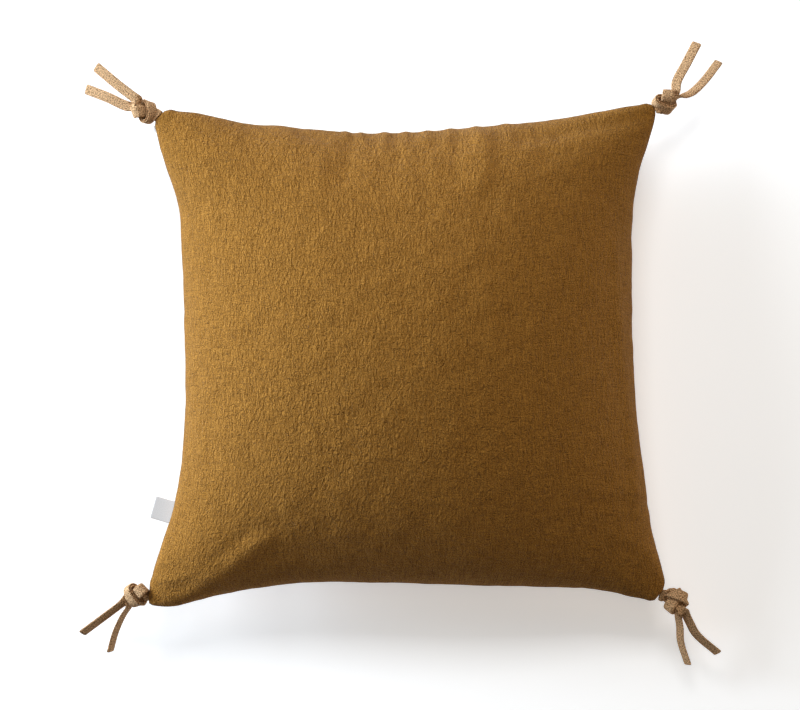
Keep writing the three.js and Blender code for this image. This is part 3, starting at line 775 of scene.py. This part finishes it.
def close_pairs(points, section_of, step):
    """Pairs of points of different wraps that lie close together."""
    margin, wrap_apart = 1.5, 1.6
    near = KNOT["clearance"] + margin
    apart = int(wrap_apart * KNOT["clearance"] / step) + 1
    squares = ((points[:, None] - points[None]) ** 2).sum(-1)
    return np.nonzero((squares < near * near) & (section_of[None] - section_of[:, None] >= apart))


def separate(points, pairs):
    """Pushes the pairs that are nearer than the clearance apart."""
    push = 0.6
    i, j = pairs
    away = points[j] - points[i]
    distance = np.maximum(np.linalg.norm(away, axis=1), 1e-6)
    hit = distance < KNOT["clearance"]
    i, j, away, distance = i[hit], j[hit], away[hit], distance[hit]
    away *= (push * (KNOT["clearance"] - distance) / distance)[:, None]
    moves, counts = np.zeros_like(points), np.zeros(len(points))
    np.add.at(moves, i, -away)
    np.add.at(moves, j, away)
    np.add.at(counts, i, 1)
    np.add.at(counts, j, 1)
    points += moves / np.maximum(counts, 1)[:, None]


def steer_end(section, width):
    """Draws an end towards the axis, with its width lying along y."""
    hold = 0.3
    middle = section[(KNOT["across"] - 1) // 2].copy()
    section[:, 1:] -= hold * middle[1:]
    offsets = across_offsets(width)
    target = np.array([middle[0], (1 - hold) * middle[1], (1 - hold) * middle[2]])
    target = target + np.stack([0 * offsets, offsets, 0 * offsets], 1)
    section += hold * (target - section)


def tight_band(width):
    """The band after its ends are pulled, its length drawn in and its wraps kept apart."""
    band = loose_band(width)
    count = len(band)
    section_of = np.repeat(np.arange(count), KNOT["across"])
    drawing = 0.7 * KNOT["passes"]
    pairs_kept_for = 8
    for turn in range(KNOT["passes"]):
        drawn = min(1, turn / drawing)
        step = (KNOT["slack"] + (KNOT["tight"] - KNOT["slack"]) * drawn) / (count - 1)
        band[0, :, 0] -= KNOT["pull"]
        band[-1, :, 0] += KNOT["pull"]
        hold_shape(band, step, width)
        hold_shape(band, step, width)
        softer = band.copy()
        softer[1:-1] += KNOT["lengthwise"] * (0.5 * (band[:-2] + band[2:]) - band[1:-1])
        band = softer.copy()
        band[:, 1:-1] += KNOT["crosswise"] * (
            0.5 * (softer[:, :-2] + softer[:, 2:]) - softer[:, 1:-1])
        points = band.reshape(-1, 3)
        if turn % pairs_kept_for == 0:
            pairs = close_pairs(points, section_of, step)
        separate(points, pairs)
        separate(points, pairs)
        steer_end(band[0], width)
        steer_end(band[-1], width)
    return band


def knot_wraps():
    """The wraps alone, moved so that their middle is the origin."""
    band = tight_band(KNOT["band"])
    middles = band[:, (KNOT["across"] - 1) // 2]
    knotted = slice(int(0.3 * len(band)), int(0.7 * len(band)))
    centre = middles[knotted].mean(0)
    inside = np.flatnonzero(np.linalg.norm(middles - centre, axis=1) < KNOT["lead"])
    return band[inside[0]:inside[-1] + 1] - centre


def turn_about(axis, degrees):
    """Matrix of a turn about an axis."""
    a, (x, y, z) = math.radians(degrees), axis
    c, s = math.cos(a), math.sin(a)
    return np.array([
        [c + x * x * (1 - c), x * y * (1 - c) - z * s, x * z * (1 - c) + y * s],
        [y * x * (1 - c) + z * s, c + y * y * (1 - c), y * z * (1 - c) - x * s],
        [z * x * (1 - c) - y * s, z * y * (1 - c) + x * s, c + z * z * (1 - c)],
    ])


def placed_wraps(wraps, tie):
    """The wraps turned and moved to where a tie's knot lies."""
    turn = (turn_about((0, 0, 1), tie["axis"]) @ turn_about((0, 1, 0), tie["droop"])
            @ turn_about((1, 0, 0), tie["roll"]) @ np.diag([1, 1, tie["hand"]]))
    return tie["size"] * wraps @ turn.T + np.array(tie["middle"], float)


# Tie


def smooth_route(route, count):
    """Centripetal curve through points, cut into even steps: its points and its tangents."""
    route = np.array(route, float)
    route = np.vstack([2 * route[0] - route[1], route, 2 * route[-1] - route[-2]])
    knots = np.concatenate([[0], np.cumsum(np.linalg.norm(np.diff(route, axis=0), axis=1) ** 0.5)])
    fine, per_span = [], 60
    for k in range(1, len(route) - 2):
        t = np.linspace(knots[k], knots[k + 1], per_span)[:, None]
        p, u = route[k - 1:k + 3], knots[k - 1:k + 3]
        a = [((u[i + 1] - t) * p[i] + (t - u[i]) * p[i + 1]) / (u[i + 1] - u[i]) for i in range(3)]
        b = [((u[i + 2] - t) * a[i] + (t - u[i]) * a[i + 1]) / (u[i + 2] - u[i]) for i in range(2)]
        fine.append(((u[2] - t) * b[0] + (t - u[1]) * b[1]) / (u[2] - u[1]))
    line = np.concatenate(fine)
    run = run_along(line)
    even = np.linspace(0, run[-1], count + 1)
    points = np.stack([np.interp(even, run, line[:, a]) for a in range(3)], 1)
    return points, unit(np.gradient(points, axis=0))


def squared(width, tangent):
    """A width direction made square to the tangent."""
    return unit(width - (width * tangent).sum(-1, keepdims=True) * tangent)


def turned_widths(tangents, start, end, turned):
    """Width directions that turn from start to end over the first share of the length."""
    end = end if start @ end > 0 else -end
    share = np.clip(np.linspace(0, 1, len(tangents)) / turned, 0, 1)
    share = (share * share * (3 - 2 * share))[:, None]
    return squared(start + share * (end - start), tangents)


def section_frame(wraps, n):
    """Middle, width direction and tangent of one section of the wraps."""
    centre = (KNOT["across"] - 1) // 2
    tangent = unit(wraps[min(n + 2, len(wraps) - 1), centre] - wraps[max(n - 2, 0), centre])
    return wraps[n, centre], squared(wraps[n, -1] - wraps[n, 0], tangent), tangent


def flat_sections(points, widths, width):
    """Sections of a flat tape, each a row of points across it."""
    width = np.broadcast_to(width, len(points))
    return points[:, None] + (width[:, None] * across_offsets(1))[..., None] * widths[:, None]


def neck_sections(tie, wraps):
    """Sections of the doubled tape from the cover's corner up to the first wrap."""
    corner = CORNERS[tie["corner"]]
    angle = math.radians(corner["facing"])
    normal = np.array([math.cos(angle), math.sin(angle), 0])
    start = np.array([*corner["neck"], corner["tip"][2]]) + SEWN_GAP * normal
    middle, first_width, tangent = section_frame(wraps, 0)
    reach = np.linalg.norm(start - middle) / 3
    t = np.linspace(0, 1, 9)[:, None]
    handles = (start, start + reach * normal, middle - reach * tangent, middle)
    points = ((1 - t) ** 3 * handles[0] + 3 * t * (1 - t) ** 2 * handles[1]
              + 3 * t * t * (1 - t) * handles[2] + t**3 * handles[3])
    across = np.array([-normal[1], normal[0], 0])
    across = across if across @ first_width > 0 else -across
    widths = turned_widths(unit(np.gradient(points, axis=0)), across, first_width, 1)
    return flat_sections(points, widths, KNOT["band"] * tie["size"])[:-1]


def tail_sections(tie, tail, wraps, width):
    """Sections of a tail from the last wrap, where it is as wide as the band, to its tip."""
    _, via, end, face = tail
    middle, last_width, tangent = section_frame(wraps, len(wraps) - 1)
    straight, steps = 2, 40
    points, tangents = smooth_route([middle, middle + straight * tangent, *via, end], steps)
    heading = tangents[-1]
    level = unit(np.array([-heading[1], heading[0], 0]))
    end_width = turn_about(heading, face) @ level
    widths = turned_widths(tangents, last_width, end_width, TURNED)
    band = KNOT["band"] * tie["size"]
    width = np.interp(np.linspace(0, 1, len(points)), (0, TURNED), (band, width))
    return flat_sections(points, widths, width)[1:]


def spread(rows, share, fine):
    """Rows of points across the tape, read at finer shares of its width."""
    return np.stack([
        [np.interp(fine, share, row[:, a]) for a in range(3)] for row in rows]).transpose(0, 2, 1)


def tape_strip(sections, side, tape):
    """One layer of tape: points round each section, top face first, its run, and how far
    each point of a section lies across the tape."""
    corner_power, edge_share, rows = 9, 0.22, 9
    width, thick = tape.width / MM, tape.thickness / MM
    length_dir = np.gradient(sections, axis=0)
    across_dir = np.gradient(sections, axis=1)
    normals = unit(np.cross(length_dir, across_dir))
    middle = sections + side[:, None, None] * normals
    share = np.linspace(0, 1, sections.shape[1])
    fine = np.linspace(0, 1, rows)
    middle, normals = spread(middle, share, fine), unit(spread(normals, share, fine))
    belly = 0.5 * thick * np.maximum(1 - np.abs(2 * fine - 1) ** corner_power, 0.0) ** 0.5
    belly = np.maximum(belly, edge_share * thick)
    top = middle + belly[None, :, None] * normals
    bottom = middle - belly[None, :, None] * normals
    ring = np.concatenate([top, bottom[:, ::-1]], 1)
    return ring, run_along(middle[:, rows // 2]), np.concatenate([fine, fine[::-1]]) * width


def strip_mesh(name, strips):
    """Closed tape strips as one mesh, with a UV map in metres along and across the tape."""
    points, faces, uvs = [], [], []
    base = 0
    for ring, run, aside in strips:
        count, corners = ring.shape[:2]
        points.extend(((ring.reshape(-1, 3) - PLAN_MIDDLE) * MM).tolist())
        for n in range(count - 1):
            for c in range(corners):
                d = (c + 1) % corners
                cell = ((n, c), (n, d), (n + 1, d), (n + 1, c))
                faces.append([base + a * corners + b for a, b in cell])
                uvs.extend((aside[b] * MM, run[a] * MM) for a, b in cell)
        for n, order in ((0, -1), (count - 1, 1)):
            faces.append([base + n * corners + c for c in range(corners)][::order])
            uvs.extend([(aside[c] * MM, run[n] * MM) for c in range(corners)][::order])
        base += count * corners
    mesh = bpy.data.meshes.new(name)
    mesh.from_pydata(points, [], faces)
    add_cloth_map(mesh, uvs)
    return mesh


def face_outwards(mesh):
    shape = bmesh.new()
    shape.from_mesh(mesh)
    bmesh.ops.recalc_face_normals(shape, faces=shape.faces)
    shape.to_mesh(mesh)
    shape.free()


def flax_braid(tape):
    """Flat braid of undyed flax: dry, matt and grainy, its stitches small uneven grains that
    catch the light one by one, with a painted highlight at each one's middle and painted shade in the
    gaps between."""
    material, tree, surface = new_material("flax_braid")
    cloth = add_node(tree, "ShaderNodeUVMap", {"uv_map": "cloth"})
    pitch = 1 / tape.braid_pitch
    scaled = add_node(tree, "ShaderNodeMapping", inputs={
        "Vector": cloth.outputs["UV"], "Scale": (1.6 * pitch, pitch, 1)})
    cells = add_node(tree, "ShaderNodeTexVoronoi", {"voronoi_dimensions": "2D"}, {
        "Vector": scaled.outputs["Vector"], "Scale": 1.0, "Randomness": 0.8})
    fibre = add_node(tree, "ShaderNodeTexNoise", {"noise_dimensions": "2D"}, {
        "Vector": cloth.outputs["UV"], "Scale": 1.1 * pitch, "Detail": 3.0,
        "Roughness": 0.7})
    shade = add_node(tree, "ShaderNodeMix", {"data_type": "FLOAT"}, {
        "Factor": 0.6, "A": cells.outputs["Distance"], "B": fibre.outputs["Fac"]})
    tone = add_node(tree, "ShaderNodeValToRGB", inputs={"Fac": shade.outputs["Result"]})
    # From each stitch's middle outwards: pale, a neutral painted highlight, then the flax's own tone,
    # then deep, painted shade in the gaps; the fibre noise mixed in gives the flax its own uneven tone.
    pale, deep = (1.85, 1.85, 1.85), (0.36, 0.27, 0.16)
    set_tones(tone, (0.34, times(tape.flax, pale)), (0.47, tape.flax),
              (0.62, times(tape.flax, deep)))
    bump = add_node(tree, "ShaderNodeBump", {"invert": True}, {
        "Height": shade.outputs["Result"], "Strength": 1.0, "Distance": 1.2 * MM})
    set_inputs(tree, surface, {
        "Base Color": tone.outputs["Color"], "Normal": bump.outputs["Normal"],
        "Roughness": 0.9, "Specular IOR Level": 0.2})
    return material


class CUSHION_OT_ties(bpy.types.Operator):
    """Make the knotted tape ties"""

    bl_idname = "cushion.ties"
    bl_label = "Knotted Ties"

    def execute(self, context):
        tape = context.scene.cushion_tape
        width = tape.width / MM
        wraps = knot_wraps()
        material = flax_braid(tape)
        for name, tie in TIES.items():
            placed = placed_wraps(wraps, tie)
            neck = neck_sections(tie, placed)
            strips = []
            for tail in tie["tails"]:
                ending = tail_sections(tie, tail, placed, width)
                sections = np.concatenate([neck, placed, ending])
                side = np.full(len(sections), tail[0] * tape.layer_offset / MM)
                strips.append(tape_strip(sections, side, tape))
            mesh = strip_mesh(name + "_tape", strips)
            face_outwards(mesh)
            piece = add_object(name + "_tape", mesh)
            subdivide_once(piece)
            piece.data.shade_smooth()
            piece.data.materials.append(material)
            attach(piece, "root")
            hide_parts(name)
        return {"FINISHED"}


# Labels


def label_tape(labels):
    """Woven satin label tape: smooth, close and faintly ribbed, grey-white, left bare."""
    material, tree, surface = new_material("woven_label")
    cloth = add_node(tree, "ShaderNodeUVMap", {"uv_map": "cloth"})
    ribs = add_node(tree, "ShaderNodeTexNoise", {"noise_dimensions": "2D"}, {
        "Vector": cloth.outputs["UV"], "Scale": 1 / labels.rib, "Detail": 2.0})
    tone = add_node(tree, "ShaderNodeValToRGB", inputs={"Fac": ribs.outputs["Fac"]})
    deep, pale = (0.88, 0.88, 0.88), (1.05, 1.05, 1.05)
    set_tones(tone, (0.3, times(labels.tape, deep)), (0.7, times(labels.tape, pale)))
    bump = add_node(tree, "ShaderNodeBump", inputs={
        "Height": ribs.outputs["Fac"], "Strength": 0.3, "Distance": 0.1 * MM})
    set_inputs(tree, surface, {
        "Base Color": tone.outputs["Color"], "Normal": bump.outputs["Normal"],
        "Roughness": 0.7})
    return material


def label_sections(root, outwards, tangent, out, wide, droop, narrowing):
    """The folded tab as a hairpin of sections, out along one layer, round and back, and the
    run of the tape up to each section."""
    half_gap, curl_rise = 0.35, 0.5
    flat_steps, round_steps, points_across = 12, 7, 9
    slope = math.radians(droop)
    forward = outwards * math.cos(slope) - np.array([0, 0, 1]) * math.sin(slope)
    up = unit(np.cross(tangent, forward))
    up = up if up[2] > 0 else -up
    path = [(x, half_gap) for x in np.linspace(0, out - half_gap, flat_steps)]
    path += [(out - half_gap + half_gap * math.sin(a), half_gap * math.cos(a))
             for a in np.linspace(0, math.pi, round_steps)[1:-1]]
    path += [(x, -half_gap) for x in np.linspace(out - half_gap, 0, flat_steps)]
    across = np.linspace(-0.5, 0.5, points_across)
    rows = []
    for x, z in path:
        width = wide * (1 - narrowing * min(1, x / out))
        curl = curl_rise * (x / out) ** 2
        rows.append(root + x * forward + (z + curl) * up + (across * width)[:, None] * tangent)
    return np.array(rows), run_along(np.array(path))


def label_mesh(name, sections, run, wide):
    """A sheet through the sections, with a UV map in metres across and along the tape."""
    count, corners = sections.shape[:2]
    faces = []
    for n in range(count - 1):
        for first in range(n * corners, (n + 1) * corners - 1):
            faces.append((first, first + 1, first + corners + 1, first + corners))
    mesh = bpy.data.meshes.new(name)
    mesh.from_pydata(((sections.reshape(-1, 3) - PLAN_MIDDLE) * MM).tolist(), [], faces)
    add_cloth_map(mesh, [
        ((v % corners) / (corners - 1) * wide * MM, run[v // corners] * MM)
        for face in faces for v in face])
    return mesh


class CUSHION_OT_labels(bpy.types.Operator):
    """Make the folded labels, left bare"""

    bl_idname = "cushion.labels"
    bl_label = "Labels"

    def execute(self, context):
        labels = context.scene.cushion_labels
        seam_height = context.scene.cushion_cover.seam_height / MM
        material = label_tape(labels)
        # Name, share of the way down the left seam, mm tucked into it, reach, width, degrees
        # that it hangs by, share that it narrows by
        rows = (
            ("side_label", 0.81, 1.5, labels.side_out, labels.side_wide, 6, 0.0),
            ("care_label", 0.037, -SEWN_GAP, labels.care_out, labels.care_wide, 25, 0.7),
        )
        for name, along, tucked, out, wide, droop, narrowing in rows:
            out, wide, beside = out / MM, wide / MM, 0.01
            places = [along - beside, along, along + beside]
            before, root, after = seam("left", places, seam_height)
            tangent = unit(after - before)
            outwards = unit(np.array([tangent[1], -tangent[0], 0]))
            sections, run = label_sections(
                root - tucked * outwards, outwards, tangent, out, wide, droop, narrowing)
            mesh = label_mesh(name + "_tape", sections, run, wide)
            piece = add_object(name + "_tape", mesh)
            wall = piece.modifiers.new("wall", "SOLIDIFY")
            wall.thickness, wall.offset = labels.thickness, 0
            subdivide_once(piece)
            face_outwards(piece.data)
            piece.data.shade_smooth()
            piece.data.materials.append(material)
            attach(piece, "root")
            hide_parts(name)
        return {"FINISHED"}


# Stage


def softbox(name, plan_angle, elevation, distance, power, tint):
    """A soft box that faces the cushion, placed by its angle in plan and above the floor."""
    data = bpy.data.lights.new(name, "AREA")
    data.shape = "RECTANGLE"
    data.size, data.size_y = SOFTBOX_SIDES
    data.energy, data.color = power, linear(tint)
    light = add_object(name, data)
    turn, rise = math.radians(plan_angle), math.radians(elevation)
    aside, up = math.cos(rise), math.sin(rise)
    away = Vector((math.cos(turn) * aside, math.sin(turn) * aside, up))
    light.location = Vector((0, 0, AIM_HEIGHT)) + distance * away
    light.rotation_euler = away.to_track_quat("Z", "Y").to_euler()


class CUSHION_OT_stage(bpy.types.Operator):
    """Set up the floor, the soft studio light and the camera"""

    bl_idname = "cushion.stage"
    bl_label = "Stage"

    def execute(self, context):
        stage = context.scene.cushion_stage
        bpy.ops.object.select_all(action="DESELECT")
        bpy.ops.mesh.primitive_plane_add(size=stage.floor_side, location=(0, 0, 0))
        floor = context.object
        floor.name = "floor"
        material, tree, surface = new_material("studio_floor")
        set_inputs(tree, surface, {
            "Base Color": (*stage.floor, 1), "Roughness": 1.0, "Specular IOR Level": 0.0,
            "Emission Color": (1, 1, 1, 1), "Emission Strength": stage.floor_glow})
        floor.data.materials.append(material)
        for name, plan_angle, elevation, power, tint in SOFTBOXES:
            softbox(name, plan_angle, elevation, stage.light_distance, power, tint)
        world = bpy.data.worlds.new("studio")
        context.scene.world = world
        world.use_nodes = True
        set_inputs(world.node_tree, world.node_tree.nodes["Background"], {
            "Color": (1, 1, 1, 1), "Strength": stage.room_light})
        camera = add_object("camera", bpy.data.cameras.new("camera"))
        camera.data.lens = stage.lens
        camera.data.clip_end = 50
        camera_x, camera_y, seams = -1.275 * MM, -0.815 * MM, 50 * MM
        camera.location = (camera_x, camera_y, seams + stage.camera_height)
        context.scene.camera = camera
        context.scene.view_settings.view_transform = "Standard"
        return {"FINISHED"}


class CUSHION_PT_panel(bpy.types.Panel):
    """The cushion's pieces and their sizes"""

    bl_idname = "CUSHION_PT_panel"
    bl_label = "Throw Cushion"
    bl_space_type = "VIEW_3D"
    bl_region_type = "UI"
    bl_category = "Cushion"

    def draw(self, context):
        for operator, group, _ in STEPS:
            box = self.layout.box()
            box.operator(operator.bl_idname)
            settings = getattr(context.scene, group)
            for name in settings.bl_rna.properties.keys():
                if name not in {"rna_type", "name"}:
                    box.prop(settings, name)


STEPS = (
    (CUSHION_OT_cover, "cushion_cover", CushionCover),
    (CUSHION_OT_ties, "cushion_tape", CushionTape),
    (CUSHION_OT_labels, "cushion_labels", CushionLabels),
    (CUSHION_OT_stage, "cushion_stage", CushionStage),
)
CLASSES = (*(step[2] for step in STEPS), *(step[0] for step in STEPS), CUSHION_PT_panel)


def register():
    for each in CLASSES:
        bpy.utils.register_class(each)
    for _, name, group in STEPS:
        setattr(bpy.types.Scene, name, bpy.props.PointerProperty(type=group))


def unregister():
    for _, name, _ in STEPS:
        delattr(bpy.types.Scene, name)
    for each in reversed(CLASSES):
        bpy.utils.unregister_class(each)


def main():
    register()
    bpy.ops.cushion.cover()
    bpy.ops.cushion.ties()
    bpy.ops.cushion.labels()
    bpy.ops.cushion.stage()


if __name__ == "__main__":
    main()
